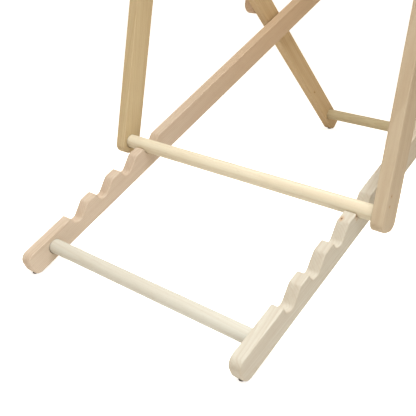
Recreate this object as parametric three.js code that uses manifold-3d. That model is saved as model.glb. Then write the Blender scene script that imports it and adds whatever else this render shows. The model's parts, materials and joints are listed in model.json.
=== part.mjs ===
// Folding wooden chair frame, without its cloth: three frames of flat rails joined by round rungs.
// The seat frame has a row of notches; the back frame crosses it and turns on two bolts; the prop
// frame hangs from the back frame and drops its rung into one of the notches.
//
// Units are millimetres. +Z is up, the front of the chair faces -Y, and X runs across its width.
// The origin is on the floor, under the middle of the chair's bounding box.

import * as THREE from "three";
import { mergeVertices } from "three/addons/utils/BufferGeometryUtils.js";
import Module from "manifold-3d";

// ---------------------------------------------------------------- driving dimensions
const innerWidth = 430; // clear width between the two notched rails
const railThickness = 21;
const seatRailHeight = 41;
const frameRailHeight = 40; // back, prop, post and arm stock
const layerGap = 2.5; // a washer fills it wherever two pieces turn on each other
const cornerRadius = 15; // rounded rail ends
const easedEdge = 2; // softened long edges

const rungDiameter = 25;
const rungSocketDepth = 15;

const heelOverhang = 57; // seat rail behind its end rung
const endRungToPivot = 714; // along the seat rail
const pivotToFrontRung = 350;
const frontOverhang = 22;

const firstTooth = 50; // front face of the rearmost tooth, ahead of the end rung
const notchPitch = 65;
const notchCount = 4;
const notchDepth = 0.68 * rungDiameter; // deep enough to hold the rung, shallow enough to let go
const notchInUse = 4; // counted from the rear
const rampAngle = 34; // degrees, the slope that leads up out of a notch
const toothCorner = 3;
const rampCorner = 10;

const pivotToFootRung = 356; // down the back rail
const footOverhang = 50;
const pivotToPropBolt = 466; // up the back rail
const pivotToHeadRung = 800;
const headOverhang = 24;

const propLength = 520; // prop bolt to prop rung
const propTailOverhang = 23;
const propTopOverhang = 22;
const propTailRadius = 15;

const postFootHeight = 58; // post bolt, up the back rail from the main pivot
const armBoltHeight = 320; // rear arm bolt, up the back rail from the main pivot
const postLean = 13; // degrees forward of upright
const armThickness = 26;
const armEdge = 5;
const armRearOverhang = 34;
const armFrontOverhang = 120;

const mainBolt = { shank: 8, head: 20, headHeight: 4.2, insert: 12 };
const armBolt = { shank: 6, head: 16, headHeight: 3.4, insert: 10 };
const insertLength = 14;
const spacerDiameter = 18;
const washerRim = 5; // washer radius beyond the shank

const glideDiameter = 10;
const glideLength = 8;
const glideProud = 2;
const heelGlideBack = 3; // the heel's glide sits a little behind the lowest point of the heel

const clearance = 0.3; // between pieces that touch
const notchClearance = 0.5; // round the prop rung in its notch

const arcSegments = 3; // half the number of chords along a rounded corner
const rungSides = 24;
const turnedSides = 16;

// ---------------------------------------------------------------- values that follow from them
const { degToRad } = THREE.MathUtils;
const rungRadius = rungDiameter / 2;
const seatHalf = seatRailHeight / 2;
const railHalf = frameRailHeight / 2;
const roundEnd = railHalf - clearance; // a fully rounded end, short of a half circle by a hair

// Each layer's inner face, outwards from the middle of the chair.
const seatLayer = innerWidth / 2;
const backLayer = seatLayer + railThickness + layerGap;
const propLayer = backLayer + railThickness + layerGap;
const armLayer = propLayer + railThickness + layerGap;

// Seat frame plane: x forward along the rail from the end rung, y square to it, upwards.
const pivot = new THREE.Vector2(endRungToPivot, 0);
const notchRadius = rungRadius + notchClearance;
const toothFace = (i) => firstTooth + i * notchPitch;
const notchCentre = (i) => new THREE.Vector2(toothFace(i) + notchRadius, seatHalf - notchDepth + notchRadius);
const propRung = notchCentre(notchInUse - 1);

// The back rail's slope closes the triangle pivot, prop bolt, prop rung.
const rungToPivot = propRung.distanceTo(pivot);
const wedge = Math.acos(
  (pivotToPropBolt ** 2 + rungToPivot ** 2 - propLength ** 2) / (2 * pivotToPropBolt * rungToPivot),
);
const backAngle = propRung.clone().sub(pivot).angle() - wedge;
const alongBack = (distance, across = 0) =>
  new THREE.Vector2(distance, across).rotateAround(new THREE.Vector2(), backAngle).add(pivot);
const propBolt = alongBack(pivotToPropBolt);
const propAngle = propRung.clone().sub(propBolt).angle();

// The chair stands on the lower rear corner of each heel and the rear corner of each foot.
const heelCorner = new THREE.Vector2(cornerRadius - heelOverhang, cornerRadius - seatHalf);
const footEnd = -pivotToFootRung - footOverhang;
const footCornerOnRail = new THREE.Vector2(footEnd + cornerRadius, railHalf - cornerRadius);
const footCorner = alongBack(footCornerOnRail.x, footCornerOnRail.y);
const seatTilt = -footCorner.clone().sub(heelCorner).angle();

// The arm is level, so its height on the back rail sets the length of the post.
const backSlope = backAngle + seatTilt;
const postRise = (armBoltHeight - postFootHeight) * Math.sin(backSlope);
const postLength = postRise / Math.cos(degToRad(postLean));
const postAngle = Math.PI / 2 - degToRad(postLean) - seatTilt;
const postFoot = alongBack(postFootHeight);
const armRear = alongBack(armBoltHeight);
const armFront = new THREE.Vector2(postLength, 0).rotateAround(new THREE.Vector2(), postAngle).add(postFoot);
const armSpan = armFront.distanceTo(armRear);
const armAngle = armFront.clone().sub(armRear).angle();

// ---------------------------------------------------------------- materials
const finish = (color, roughness, metalness = 0) => ({ color, roughness, metalness });
const paleWood = finish(0xe6d3b4, 0.62);
const rungWood = finish(0xead9bb, 0.58);
const steel = finish(0xb9bcc0, 0.35, 1);
const darkSteel = finish(0x6e7075, 0.45, 1);
const nylon = finish(0xe9e7df, 0.5);
const greyPlastic = finish(0x5b5d60, 0.6);

// ---------------------------------------------------------------- shape helpers
const wasm = await Module();
wasm.setup();

function solidFrom(geometry) {
  const bare = geometry.clone();
  bare.deleteAttribute("normal");
  bare.deleteAttribute("uv");
  const merged = mergeVertices(bare, 1e-4);
  return new wasm.Manifold(
    new wasm.Mesh({
      numProp: 3,
      vertProperties: merged.attributes.position.array,
      triVerts: new Uint32Array(merged.index.array),
    }),
  );
}

function cutAway(geometry, cutters) {
  const cut = cutters.reduce((body, cutter) => body.subtract(solidFrom(cutter)), solidFrom(geometry));
  const { vertProperties, triVerts } = cut.getMesh();
  const result = new THREE.BufferGeometry();
  result.setAttribute("position", new THREE.BufferAttribute(vertProperties, 3));
  result.setIndex(new THREE.BufferAttribute(triVerts, 1));
  result.computeVertexNormals();
  return result;
}

// A closed outline from corners [x, y, radius], anticlockwise, with each corner rounded by an arc.
function roundedOutline(corners) {
  const shape = new THREE.Shape();
  corners.forEach(([x, y, radius], i) => {
    const corner = new THREE.Vector2(x, y);
    const previous = new THREE.Vector2(...corners[(i + corners.length - 1) % corners.length]);
    const next = new THREE.Vector2(...corners[(i + 1) % corners.length]);
    const into = corner.clone().sub(previous).normalize();
    const out = next.sub(corner).normalize();
    const turn = Math.atan2(into.cross(out), into.dot(out));
    const side = Math.sign(turn);
    const start = corner.clone().addScaledVector(into, -radius * Math.tan(Math.abs(turn) / 2));
    const centre = start.clone().add(new THREE.Vector2(-into.y, into.x).multiplyScalar(side * radius));
    const from = start.clone().sub(centre).angle();
    if (i === 0) shape.moveTo(start.x, start.y);
    else shape.lineTo(start.x, start.y);
    shape.absarc(centre.x, centre.y, radius, from, from + turn, side < 0);
  });
  shape.closePath();
  return shape;
}

// A flat piece of the given outline, its edges softened, centred on the plane z = 0.
function board(outline, thickness, edge = easedEdge) {
  const geometry = new THREE.ExtrudeGeometry(outline, {
    depth: thickness - 2 * edge,
    bevelThickness: edge,
    bevelSize: edge,
    bevelOffset: -edge,
    bevelSegments: 1,
    curveSegments: arcSegments,
  });
  return geometry.translate(0, 0, edge - thickness / 2);
}

// A plain rail along x, from its tail to its head, with its own radius at each end.
function railOutline(tail, head, half, tailRadius = cornerRadius, headRadius = cornerRadius) {
  return roundedOutline([
    [tail, -half, tailRadius],
    [head, -half, headRadius],
    [head, half, headRadius],
    [tail, half, tailRadius],
  ]);
}

// A round bar or drill along z between two levels.
function roundBar(x, y, radius, from, to, sides = turnedSides) {
  return new THREE.CylinderGeometry(radius, radius, to - from, sides)
    .rotateX(Math.PI / 2)
    .translate(x, y, (from + to) / 2);
}

// ---------------------------------------------------------------- scene graph
// Side view axes: x forward, y up, z across the chair.
const chair = new THREE.Group();
const sideView = new THREE.Group();
sideView.setRotationFromMatrix(
  new THREE.Matrix4().makeBasis(
    new THREE.Vector3(0, -1, 0),
    new THREE.Vector3(0, 0, 1),
    new THREE.Vector3(-1, 0, 0),
  ),
);
chair.add(sideView);

const tilted = new THREE.Group();
tilted.rotation.z = seatTilt;
sideView.add(tilted);

function frameAt(origin, angle) {
  const frame = new THREE.Group();
  frame.position.set(origin.x, origin.y, 0);
  frame.rotation.z = angle;
  tilted.add(frame);
  return frame;
}
const seatFrame = frameAt(new THREE.Vector2(), 0);
const backFrame = frameAt(pivot, backAngle);
const propFrame = frameAt(propBolt, propAngle);
const postFrame = frameAt(postFoot, postAngle);
const armFrame = frameAt(armRear, armAngle);

function addPiece(frame, name, geometry, look, z = 0, outward = 1) {
  const mesh = new THREE.Mesh(geometry, new THREE.MeshStandardMaterial(look));
  mesh.name = name;
  mesh.position.z = z;
  if (outward < 0) mesh.rotation.y = Math.PI; // bolts and their fittings face outwards
  frame.add(mesh);
}

// side is +1 on the chair's right, which is -X, and -1 on its left.
const sides = [
  ["right", 1],
  ["left", -1],
];

// Drills are measured outwards from the middle of the board they cut, for the side in hand.
const drill = (x, y, diameter, from, to, side, count = turnedSides) =>
  side > 0
    ? roundBar(x, y, diameter / 2 + clearance, from, to, count)
    : roundBar(x, y, diameter / 2 + clearance, -to, -from, count);
const faceOf = (thickness) => thickness / 2 + 1; // one past the face, for a clean cut
const socketFloor = rungSocketDepth + clearance - railThickness / 2;
const rungSocket = (x, side) =>
  drill(x, 0, rungDiameter, -faceOf(railThickness), socketFloor, side, rungSides);
const boltHole = (x, bolt, thickness, side) =>
  drill(x, 0, bolt.shank, -faceOf(thickness), faceOf(thickness), side);
const insertFloor = railThickness / 2 - insertLength - 2 * clearance;
const insertHole = (x, bolt, side) => drill(x, 0, bolt.insert, insertFloor, faceOf(railThickness), side);

// ---------------------------------------------------------------- rails
function seatRailOutline() {
  const slope = Math.tan(degToRad(rampAngle));
  const corners = [
    [-heelOverhang, -seatHalf, cornerRadius],
    [endRungToPivot + pivotToFrontRung + frontOverhang, -seatHalf, cornerRadius],
    [endRungToPivot + pivotToFrontRung + frontOverhang, seatHalf, cornerRadius],
  ];
  for (let i = notchCount - 1; i >= 0; i--) {
    const centre = notchCentre(i);
    // The ramp is the line that touches the notch's round seat from below.
    const rampAtFace = centre.y - notchRadius * (slope + Math.hypot(1, slope));
    const rampTop = toothFace(i) + (seatHalf - rampAtFace) / slope;
    corners.push([rampTop, seatHalf, rampCorner]);
    corners.push([toothFace(i), rampAtFace, notchRadius]);
    corners.push([toothFace(i), seatHalf, toothCorner]);
  }
  corners.push([-heelOverhang, seatHalf, cornerRadius]);
  return roundedOutline(corners);
}

// A round plug that points straight down out of a rail's rounded corner, between two depths
// below the centre of that corner. The rail leans by tilt.
function plugBelow(corner, tilt, back, radius, from, to) {
  return new THREE.CylinderGeometry(radius, radius, to - from, turnedSides)
    .translate(-back, -(from + to) / 2, 0)
    .rotateZ(-tilt)
    .translate(corner.x, corner.y, 0);
}
const glideBottom = cornerRadius + glideProud;
const glideTop = glideBottom - glideLength;
const glideBody = (corner, tilt, back) =>
  plugBelow(corner, tilt, back, glideDiameter / 2, glideTop, glideBottom);
const glidePocket = (corner, tilt, back) =>
  plugBelow(corner, tilt, back, glideDiameter / 2 + clearance, glideTop - clearance, glideBottom + 1);

for (const [label, side] of sides) {
  const middleOf = (layer, thickness = railThickness) => side * (layer + thickness / 2);

  const seatCuts = [
    rungSocket(0, side),
    rungSocket(endRungToPivot + pivotToFrontRung, side),
    insertHole(endRungToPivot, mainBolt, side),
    glidePocket(heelCorner, seatTilt, heelGlideBack),
  ];
  const seatRail = cutAway(board(seatRailOutline(), railThickness), seatCuts);
  addPiece(seatFrame, `seat_rail_${label}`, seatRail, paleWood, middleOf(seatLayer));

  const backCuts = [
    rungSocket(-pivotToFootRung, side),
    rungSocket(pivotToHeadRung, side),
    boltHole(0, mainBolt, railThickness, side),
    insertHole(pivotToPropBolt, mainBolt, side),
    insertHole(postFootHeight, armBolt, side),
    insertHole(armBoltHeight, armBolt, side),
    glidePocket(footCornerOnRail, seatTilt + backAngle, 0),
  ];
  const backOutline = railOutline(footEnd, pivotToHeadRung + headOverhang, railHalf);
  const backRail = cutAway(board(backOutline, railThickness), backCuts);
  addPiece(backFrame, `back_rail_${label}`, backRail, paleWood, middleOf(backLayer));

  const propOutline = railOutline(
    -propTopOverhang,
    propLength + propTailOverhang,
    railHalf,
    roundEnd,
    propTailRadius,
  );
  const propCuts = [rungSocket(propLength, side), boltHole(0, mainBolt, railThickness, side)];
  const propRail = cutAway(board(propOutline, railThickness), propCuts);
  addPiece(propFrame, `prop_rail_${label}`, propRail, paleWood, middleOf(propLayer));

  const postOutline = railOutline(-railHalf, postLength + railHalf, railHalf, roundEnd, roundEnd);
  const postCuts = [boltHole(0, armBolt, railThickness, side), insertHole(postLength, armBolt, side)];
  const post = cutAway(board(postOutline, railThickness), postCuts);
  addPiece(postFrame, `arm_post_${label}`, post, paleWood, middleOf(propLayer));

  const armOutline = railOutline(-armRearOverhang, armSpan + armFrontOverhang, railHalf);
  const armCuts = [0, armSpan].map((x) => boltHole(x, armBolt, armThickness, side));
  const arm = cutAway(board(armOutline, armThickness, armEdge), armCuts);
  addPiece(armFrame, `armrest_${label}`, arm, paleWood, middleOf(armLayer, armThickness));

  const heelGlide = glideBody(heelCorner, seatTilt, heelGlideBack);
  addPiece(seatFrame, `heel_glide_${label}`, heelGlide, greyPlastic, middleOf(seatLayer));
  const footGlide = glideBody(footCornerOnRail, seatTilt + backAngle, 0);
  addPiece(backFrame, `foot_glide_${label}`, footGlide, greyPlastic, middleOf(backLayer));
}

// ---------------------------------------------------------------- rungs
function addRung(frame, name, x, layer) {
  const reach = layer + rungSocketDepth;
  addPiece(frame, name, roundBar(x, 0, rungRadius, -reach, reach, rungSides), rungWood);
}
addRung(seatFrame, "end_rung", 0, seatLayer);
addRung(seatFrame, "front_rung", endRungToPivot + pivotToFrontRung, seatLayer);
addRung(backFrame, "foot_rung", -pivotToFootRung, backLayer);
addRung(backFrame, "head_rung", pivotToHeadRung, backLayer);
addRung(propFrame, "prop_rung", propLength, propLayer);

// ---------------------------------------------------------------- bolts, washers, inserts, spacers
// Turned pieces: a profile of [radius, height], height measured outwards along z.
function turned(profile) {
  const points = profile.map(([radius, height]) => new THREE.Vector2(radius, height));
  return new THREE.LatheGeometry(points, turnedSides).rotateX(Math.PI / 2);
}

function sleeve(inner, outer, length) {
  const ring = [
    [inner, 0],
    [outer, 0],
    [outer, length],
    [inner, length],
    [inner, 0],
  ];
  return turned(ring);
}

// A mushroom-head bolt with its head's underside at height 0 and its shank running inwards.
function mushroomBolt({ shank, head, headHeight }, length) {
  const domeSteps = 3;
  const dome = Array.from({ length: domeSteps + 1 }, (_, i) => {
    const angle = (i / domeSteps) * (Math.PI / 2);
    return [(head / 2) * Math.cos(angle), 1 + (headHeight - 1) * Math.sin(angle)];
  });
  dome[domeSteps][0] = 0;
  return turned([[0, -length], [shank / 2, -length], [shank / 2, 0], [head / 2, 0], ...dome]);
}

// One bolted joint: the head bears on headFace, the insert sits in the piece whose outer face is insertFace.
function addBoltedJoint(frame, name, x, bolt, headFace, insertFace, between) {
  for (const [label, side] of sides) {
    const length = headFace - insertFace + insertLength - clearance;
    const place = (geometry) => geometry.translate(side * x, 0, 0);
    const boltBody = place(mushroomBolt(bolt, length));
    addPiece(frame, `${name}_bolt_${label}`, boltBody, steel, side * (headFace + clearance), side);
    const insert = place(sleeve(bolt.shank / 2 + clearance, bolt.insert / 2, insertLength));
    const insertStart = insertFace - insertLength - clearance;
    addPiece(frame, `${name}_insert_${label}`, insert, darkSteel, side * insertStart, side);
    const gap = between.to - between.from;
    const ring = place(sleeve(bolt.shank / 2 + clearance, between.radius, gap - 2 * clearance));
    const ringStart = side * (between.from + clearance);
    addPiece(frame, `${name}_${between.kind}_${label}`, ring, between.look, ringStart, side);
  }
}

const washerIn = (bolt, layer) => ({
  kind: "washer",
  look: nylon,
  radius: bolt.shank / 2 + washerRim,
  from: layer - layerGap,
  to: layer,
});
const outerFace = (layer, thickness = railThickness) => layer + thickness;
const armSpacer = {
  kind: "spacer",
  look: nylon,
  radius: spacerDiameter / 2,
  from: outerFace(backLayer),
  to: armLayer,
};

addBoltedJoint(
  seatFrame,
  "main",
  endRungToPivot,
  mainBolt,
  outerFace(backLayer),
  outerFace(seatLayer),
  washerIn(mainBolt, backLayer),
);
addBoltedJoint(
  backFrame,
  "prop",
  pivotToPropBolt,
  mainBolt,
  outerFace(propLayer),
  outerFace(backLayer),
  washerIn(mainBolt, propLayer),
);
addBoltedJoint(
  backFrame,
  "post",
  postFootHeight,
  armBolt,
  outerFace(propLayer),
  outerFace(backLayer),
  washerIn(armBolt, propLayer),
);
addBoltedJoint(
  backFrame,
  "arm_rear",
  armBoltHeight,
  armBolt,
  outerFace(armLayer, armThickness),
  outerFace(backLayer),
  armSpacer,
);
addBoltedJoint(
  postFrame,
  "arm_front",
  postLength,
  armBolt,
  outerFace(armLayer, armThickness),
  outerFace(propLayer),
  washerIn(armBolt, armLayer),
);

// ---------------------------------------------------------------- stand it on the floor
chair.updateMatrixWorld(true);
const extent = new THREE.Box3().setFromObject(chair, true);
const middle = extent.getCenter(new THREE.Vector3());
sideView.position.set(-middle.x, -middle.y, -extent.min.z);

export default chair;
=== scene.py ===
# %% [markdown]
# # A folding deck chair frame in bare wood
# Three frames of flat rails and round rungs make the chair: a seat frame with a row of notches, a
# back frame that crosses it, and a prop that drops its rung into one of the notches. The shapes
# and the joints come fixed from a measured model. Here each part gets a finer surface and a
# finish, and nothing is moved. Lengths are in metres, and the chair faces -Y.

# %% Load the fixed frame
import json
import math
import random

import bmesh
import bpy
from mathutils import Matrix, Vector


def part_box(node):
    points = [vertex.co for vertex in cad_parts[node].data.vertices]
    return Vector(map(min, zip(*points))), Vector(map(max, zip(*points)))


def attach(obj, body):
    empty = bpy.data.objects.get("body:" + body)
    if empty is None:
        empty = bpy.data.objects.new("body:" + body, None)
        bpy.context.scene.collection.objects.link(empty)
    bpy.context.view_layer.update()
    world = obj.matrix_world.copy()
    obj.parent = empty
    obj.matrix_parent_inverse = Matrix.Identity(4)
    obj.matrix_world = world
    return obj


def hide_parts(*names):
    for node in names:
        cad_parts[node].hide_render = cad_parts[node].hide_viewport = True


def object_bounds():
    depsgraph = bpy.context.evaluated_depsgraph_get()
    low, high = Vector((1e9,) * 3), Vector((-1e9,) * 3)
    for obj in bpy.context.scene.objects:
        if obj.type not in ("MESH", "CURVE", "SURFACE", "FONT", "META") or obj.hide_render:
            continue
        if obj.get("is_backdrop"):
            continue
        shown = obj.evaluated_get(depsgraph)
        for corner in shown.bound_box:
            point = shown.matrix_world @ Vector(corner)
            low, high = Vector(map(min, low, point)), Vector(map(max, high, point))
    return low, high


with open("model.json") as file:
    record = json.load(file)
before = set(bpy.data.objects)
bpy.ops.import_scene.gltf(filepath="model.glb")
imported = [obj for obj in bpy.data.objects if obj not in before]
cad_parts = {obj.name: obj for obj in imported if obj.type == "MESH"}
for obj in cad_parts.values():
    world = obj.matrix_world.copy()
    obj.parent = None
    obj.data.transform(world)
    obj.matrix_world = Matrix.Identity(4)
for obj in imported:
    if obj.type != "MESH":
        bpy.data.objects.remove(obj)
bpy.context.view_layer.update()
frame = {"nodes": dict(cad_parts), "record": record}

bodies = frame["record"]["behaviour"]["bodies"]
body_of = {node: body for body, nodes in bodies.items() for node in nodes}

# %% [markdown]
# Every rail is easiest to draw lying flat: x along its grain, y up across its height, z through its
# thickness. So each piece is drawn that way and its object is then turned into place. Shader
# patterns that read Object coordinates then follow the grain of each piece by themselves. The
# directions come from the rungs and the bolts of the frame, which are the true centre lines.

# %% Centre lines of the five kinds of rail
ACROSS = Vector((-1, 0, 0))  # z of every rail, towards the chair's right side


def centre(node):
    low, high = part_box(node)
    return (low + high) / 2


def lying_along(start, end):
    """The turn that lays x along the line from start to end, seen from the side."""
    along = Vector((0, end.y - start.y, end.z - start.z)).normalized()
    up = ACROSS.cross(along)
    turn = Matrix((along, up, ACROSS)).transposed().to_4x4()
    return Matrix.Translation((0, start.y, start.z)) @ turn


lines = {
    "seat": (centre("end_rung"), centre("front_rung")),
    "back": (centre("main_washer_left"), centre("head_rung")),
    "prop": (centre("prop_washer_left"), centre("prop_rung")),
    "post": (centre("post_washer_left"), centre("arm_front_washer_left")),
    "arm": (centre("arm_rear_spacer_left"), centre("arm_front_washer_left")),
}
lay = {name: lying_along(*ends) for name, ends in lines.items()}


def on_line(name, node):
    """How far along a frame's centre line a part's middle lies."""
    return (lay[name].inverted() @ centre(node)).x


for name, (start, end) in lines.items():
    span = (end - start).yz.length * 1000
    lean = math.degrees(math.atan2(end.z - start.z, start.y - end.y))
    print(f"{name}: {span:.0f} mm between centres, {lean:.1f} degrees from level")

# %% [markdown]
# A rail is a flat board cut to an outline. The outline is a list of corners, each with its own
# radius, like a pattern drawn with a compass. Besides each point it keeps the way inwards, which
# is the way that sandpaper takes the edge back, and the room that there is to go that way.

# %% Outlines with rounded corners
ARC_STEP = math.radians(7.5)
ARC_LEAST = 3  # a corner never has fewer steps
STRAIGHT_STEP = 0.016
ENDLESS = 1.0  # room beyond any edge that could be sanded


def corner_arc(before, corner, after, radius):
    into, out = (corner - before).normalized(), (after - corner).normalized()
    turn = math.atan2(into.x * out.y - into.y * out.x, into.dot(out))
    bend = 1 if turn > 0 else -1
    left = Vector((-into.y, into.x))
    start = corner - into * radius * math.tan(abs(turn) / 2)
    middle = start + left * bend * radius
    steps = max(ARC_LEAST, math.ceil(abs(turn) / ARC_STEP))
    arc = []
    for k in range(steps + 1):
        spoke = Matrix.Rotation(turn * k / steps, 2) @ (-left * bend)
        arc.append((middle + spoke * radius, -spoke * bend, radius if bend > 0 else ENDLESS))
    return arc


def outline(corners):
    """Points (place, way inwards, room) round a closed anticlockwise outline of (x, y, radius)."""
    spots = [Vector(c[:2]) for c in corners]
    arcs = [
        corner_arc(spots[i - 1], spots[i], spots[(i + 1) % len(spots)], corners[i][2])
        for i in range(len(corners))
    ]
    points = []
    for arc, following in zip(arcs, arcs[1:] + arcs[:1]):
        points += arc
        (start, inward, _), end = arc[-1], following[0][0]
        steps = max(1, round((end - start).length / STRAIGHT_STEP))
        points += [(start.lerp(end, k / steps), inward, ENDLESS) for k in range(1, steps)]
    return points


END_RADIUS = 0.015  # corners at the ends of most rails


def plain_rail(tail, head, half, tail_radius=END_RADIUS, head_radius=END_RADIUS):
    return [
        (tail, -half, tail_radius),
        (head, -half, head_radius),
        (head, half, head_radius),
        (tail, half, tail_radius),
    ]


print("a plain rail outline has", len(outline(plain_rail(0, 1, 0.02))), "points")

# %% [markdown]
# Real boards never have a knife edge: the maker runs sandpaper along them. A Bevel modifier could
# do that, but it would treat the long edges and the drilled holes alike. Here the board is built
# as a stack of rings instead, closer at the edges, so each edge gets its own radius, which also
# wanders a little as it does by hand. Two extra rings beside each edge keep the flat faces flat
# under smooth shading.

# %% Rings of a sanded edge
SUPPORT = 0.0015  # width of the flat band beside each rounded edge
QUARTER = [math.radians(22.5 * k) for k in range(5)]
DRIFT_WAVES = 5  # waves that add up to one wandering edge
DRIFT_RIPPLES = (2, 9)  # fewest and most ripples of a wave along the loop


def edge_rings(ease):
    """(inset, depth below the face, wear) from the side of the board up to its face."""
    round_part = [
        (ease * (1 - math.cos(a)), ease * (1 - math.sin(a)), 0.5 + math.sin(2 * a) / 2)
        for a in QUARTER
    ]
    return [(0, ease + SUPPORT, 0)] + round_part + [(ease + SUPPORT, 0, 0)]


def drifting(rng, count, spread):
    """Smooth random factors round 1 along a closed loop."""
    waves = [
        (rng.randint(*DRIFT_RIPPLES), rng.uniform(0, math.tau), rng.uniform(0.3, 1))
        for _ in range(DRIFT_WAVES)
    ]
    total = sum(weight for _, _, weight in waves)

    def sway(i):
        return sum(w * math.sin(n * math.tau * i / count + shift) for n, shift, w in waves)

    return [1 + spread * sway(i) / total for i in range(count)]


print("an eased edge takes", len(edge_rings(0.002)), "rings")

# %% [markdown]
# All the pieces of this model grow the same way, ring by ring, so one small class does the joining.
# A closed mesh matters: with no gap and no loose face, smooth shading has no seams. Each point
# remembers two things for the finish: how worn it is, and how much end grain shows there.

# %% A solid that grows ring by ring
class Solid:
    """A closed mesh under construction, whose points carry wear and end grain."""

    def __init__(self):
        self.bm = bmesh.new()
        self.worn = self.bm.verts.layers.float.new("worn")
        self.end_grain = self.bm.verts.layers.float.new("end_grain")

    def ring(self, places, worn=0.0, end_grain=None):
        made = []
        for i, place in enumerate(places):
            vert = self.bm.verts.new(place)
            vert[self.worn] = worn
            vert[self.end_grain] = end_grain[i] if end_grain else 0.0
            made.append(vert)
        return made

    def join(self, a, b):
        for i in range(len(a)):
            j = (i + 1) % len(a)
            self.bm.faces.new((a[i], a[j], b[j], b[i]))

    def fill(self, *loops):
        sides = [(loop[i - 1], loop[i]) for loop in loops for i in range(len(loop))]
        edges = [self.bm.edges.get(side) for side in sides]
        bmesh.ops.triangle_fill(self.bm, use_beauty=True, edges=edges)

    def finished(self, name):
        bmesh.ops.recalc_face_normals(self.bm, faces=self.bm.faces)
        for face in self.bm.faces:
            face.smooth = True
        mesh = bpy.data.meshes.new(name)
        self.bm.to_mesh(mesh)
        self.bm.free()
        piece = bpy.data.objects.new(name, mesh)
        bpy.context.scene.collection.objects.link(piece)
        return piece


print("each point of a solid carries", len(Solid().bm.verts.layers.float), "marks")

# %% [markdown]
# Holes could be cut with a Boolean modifier, but it leaves long thin faces that shade badly. Since
# the flat faces are filled between loops anyway, a hole is just one more loop in the face, with its
# own rings going down. Its mouth is softened like any other edge. Where an outline turns inwards,
# the sandpaper can't take more than the corner's own radius.

# %% Boards with drilled holes
MOUTH = 0.0007  # softened mouth of a drilled hole
MOUTH_WEAR = 0.4
HOLE_SPOKES = 40
MEETING = 0.9  # a through hole is drilled this far to the middle from each face
EDGE_DRIFT = 0.16
LEAST_CURVE = 0.0003  # radius that is left of the tightest inner corner


def circle(x, y, radius, level):
    turns = [math.tau * k / HOLE_SPOKES for k in range(HOLE_SPOKES)]
    return [(x + radius * math.cos(t), y + radius * math.sin(t), level) for t in turns]


def drill(solid, x, y, radius, face, depth, half):
    """Drills in from one face, +1 or -1, and returns the loop at the mouth and the last ring."""
    rings = [(radius + MOUTH + SUPPORT, 0, 0.0)]
    for a in reversed(QUARTER):
        rings.append((radius + MOUTH * (1 - math.cos(a)), MOUTH * (1 - math.sin(a)), MOUTH_WEAR))
    rings.append((radius, depth, 0.0))
    made = [solid.ring(circle(x, y, r, face * (half - d)), worn) for r, d, worn in rings]
    for a, b in zip(made, made[1:]):
        solid.join(a, b)
    return made[0], made[-1]


def board(name, corners, thickness, ease, holes, seed):
    """holes are (x, y, radius, face, depth), with face 0 for a hole right through."""
    solid, half = Solid(), thickness / 2
    points = outline(corners)
    soft = drifting(random.Random(seed), len(points), EDGE_DRIFT)
    grain = [abs(inward.x) for _, inward, _ in points]

    def ring_at(inset, depth, worn, face):
        places = []
        for (place, inward, room), factor in zip(points, soft):
            easing = factor if worn else 1
            spot = place + inward * min(inset * easing, room - LEAST_CURVE)
            places.append((spot.x, spot.y, face * (half - depth * easing)))
        return solid.ring(places, worn, [g * (inset < ease) for g in grain])

    outer = [ring_at(*ring, 1) for ring in edge_rings(ease)]
    inner = [ring_at(*ring, -1) for ring in reversed(edge_rings(ease))]
    stack = inner + outer
    for a, b in zip(stack, stack[1:]):
        solid.join(a, b)
    loops = {1: [stack[-1]], -1: [stack[0]]}
    for x, y, radius, face, depth in holes:
        if face:
            mouth, floor = drill(solid, x, y, radius, face, depth, half)
            solid.bm.faces.new(floor)
            loops[face].append(mouth)
        else:
            reach = half * MEETING
            near, near_end = drill(solid, x, y, radius, -1, reach, half)
            far, far_end = drill(solid, x, y, radius, 1, reach, half)
            solid.join(near_end, far_end)
            loops[-1].append(near)
            loops[1].append(far)
    for found in loops.values():
        solid.fill(*found)
    return solid.finished(name)


print("a hole through a board takes", 2 * (len(QUARTER) + 2), "rings")

# %% [markdown]
# The rails come in pairs, left and right. The left one isn't a mirrored copy: it has its own
# wandering edges and its own grain, as two boards from the same plank do. Only the holes change
# face. Each rail's extent is measured on the frame in the rail's own directions.

# %% Sizes of the rails and the holes in them
SIDES = {"right": 1, "left": -1}  # +1 where outwards is along z of the rail
EASE = 0.0016  # rounding along the edges of a rail
ARM_EASE = 0.005
RUNG_RADIUS = 0.0125
SOCKET = (RUNG_RADIUS + 0.0006, 0.0153)  # radius and depth
SLACK = 0.0004  # the glued rung sits against one side of its socket
MAIN_POCKET = (0.0063, 0.0146)  # radius and depth, for a threaded insert
ARM_POCKET = (0.0053, 0.0146)
MAIN_HOLE = 0.0043
ARM_HOLE = 0.0033
SEEDS = {"seat": 11, "back": 23, "prop": 37, "post": 41, "arm": 53, "rung": 61, "finish": 100}


def measured(node, name):
    """A part's lowest and highest corner in the directions of its own frame."""
    into = lay[name].inverted()
    spots = [into @ v.co for v in frame["nodes"][node].data.vertices]
    low = Vector([min(s[i] for s in spots) for i in range(3)])
    high = Vector([max(s[i] for s in spots) for i in range(3)])
    return low, high


def sockets(side, down, rear, *places):
    """Sockets whose gap shows below and behind. down and rear are the signs of those ways."""
    return [(x + down * SLACK, rear * SLACK, SOCKET[0], -side, SOCKET[1]) for x in places]


def pockets(side, size, *places):
    return [(x, 0, size[0], side, size[1]) for x in places]


def through(radius, *places):
    return [(x, 0, radius, 0, 0) for x in places]


wood_pieces = {}


def add_board(node, name, side, corners, ease, holes):
    low, high = measured(node, name)
    piece = board(node + "_wood", corners, high.z - low.z, ease, holes, SEEDS[name] + side)
    piece.matrix_world = lay[name] @ Matrix.Translation((0, 0, (low.z + high.z) / 2))
    wood_pieces[node] = piece


for node, name in (("seat_rail_left", "seat"), ("back_rail_left", "back"), ("armrest_left", "arm")):
    low, high = measured(node, name)
    print(node, "is", [round(v * 1000, 1) for v in high - low], "mm")

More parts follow.
